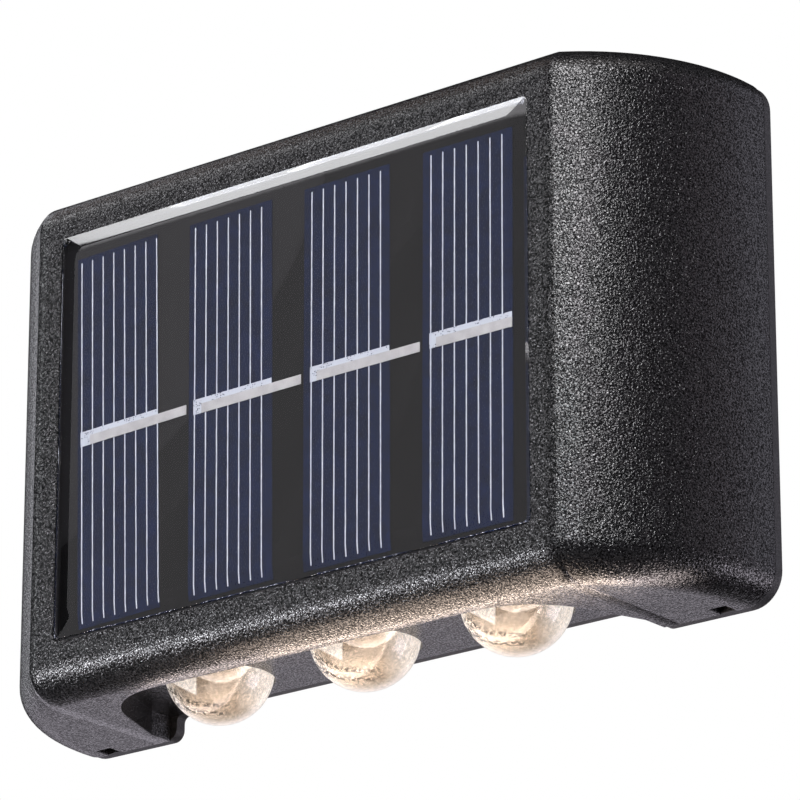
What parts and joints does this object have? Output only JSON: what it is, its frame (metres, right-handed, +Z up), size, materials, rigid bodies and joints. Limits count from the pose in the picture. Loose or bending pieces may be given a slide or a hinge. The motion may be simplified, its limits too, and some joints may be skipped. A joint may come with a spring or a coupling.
{
  "type": "solar fence light",
  "caption": "Wall-mounted solar light: flat front panel, rounded ends, and clear dome lenses in wells in its underside and top.",
  "frame": {"origin": "centre of the back face, which lies flat on the wall or fence", "axes": "+X along the width, +Y into the wall, +Z up; the solar panel faces -Y"},
  "size_m": [0.115, 0.0276, 0.0752],
  "materials": {
    "shell_plastic": "black ABS with spark-eroded grain",
    "cover_plastic": "black ABS with finer grain",
    "button_plastic": "grey moulded",
    "black_parts": "black moulded",
    "silicone": "translucent silicone",
    "panel_black": "black solder mask on glass-fibre board",
    "clear_resin": "clear epoxy, domed edge",
    "solar_blue": "polycrystalline silicon with printed fingers",
    "tinned_copper": "tinned",
    "clear_lens": "clear polycarbonate",
    "diode_yellow": "phosphor in a white body",
    "light_board_white": "white solder mask",
    "screw_steel": "zinc plated",
    "control_green": "green solder mask",
    "coil_dark": "ferrite",
    "plug_white": "nylon",
    "battery_wrap": "shrink sleeve",
    "contact_nickel": "nickel plated spring steel",
    "lead_red": "PVC insulation",
    "lead_black": "PVC insulation"
  },
  "bodies": {
    "light": {"back_cover": "cover_plastic", "battery_cell": "battery_wrap", "battery_contact_left": "contact_nickel", "battery_contact_right": "contact_nickel", "battery_holder": "black_parts", "battery_lead_black": "lead_black", "battery_lead_red": "lead_red", "board_screws": "screw_steel", "cell_ribbons": "tinned_copper", "control_board": "control_green", "cover_gasket": "silicone", "cover_screws": "screw_steel", "driver_chip": "black_parts", "front_housing": "shell_plastic", "lead_plugs": "plug_white", "lower_led_board": "light_board_white", "lower_led_board_screws": "screw_steel", "lower_led_lead_black": "lead_black", "lower_led_lead_red": "lead_red", "lower_leds": "diode_yellow", "lower_lens_left": "clear_lens", "lower_lens_middle": "clear_lens", "lower_lens_right": "clear_lens", "lower_lens_seals": "silicone", "panel_board": "panel_black", "panel_glue": "silicone", "panel_lead_black": "lead_black", "panel_lead_red": "lead_red", "panel_resin": "clear_resin", "power_switch": "black_parts", "solar_cell_1": "solar_blue", "solar_cell_2": "solar_blue", "solar_cell_3": "solar_blue", "solar_cell_4": "solar_blue", "storage_coil": "coil_dark", "upper_led_board": "light_board_white", "upper_led_board_screws": "screw_steel", "upper_led_lead_black": "lead_black", "upper_led_lead_red": "lead_red", "upper_leds": "diode_yellow", "upper_lens_left": "clear_lens", "upper_lens_middle": "clear_lens", "upper_lens_right": "clear_lens", "upper_lens_seals": "silicone"},
    "button": {"power_button": "button_plastic", "switch_plunger": "button_plastic"}
  },
  "joints": [
    {"name": "power_button_press", "type": "slide", "parent": "light", "child": "button", "axis": [0, -1, 0], "range_m": [0, 0.0012], "stiffness_N_per_m": 900}
  ]
}
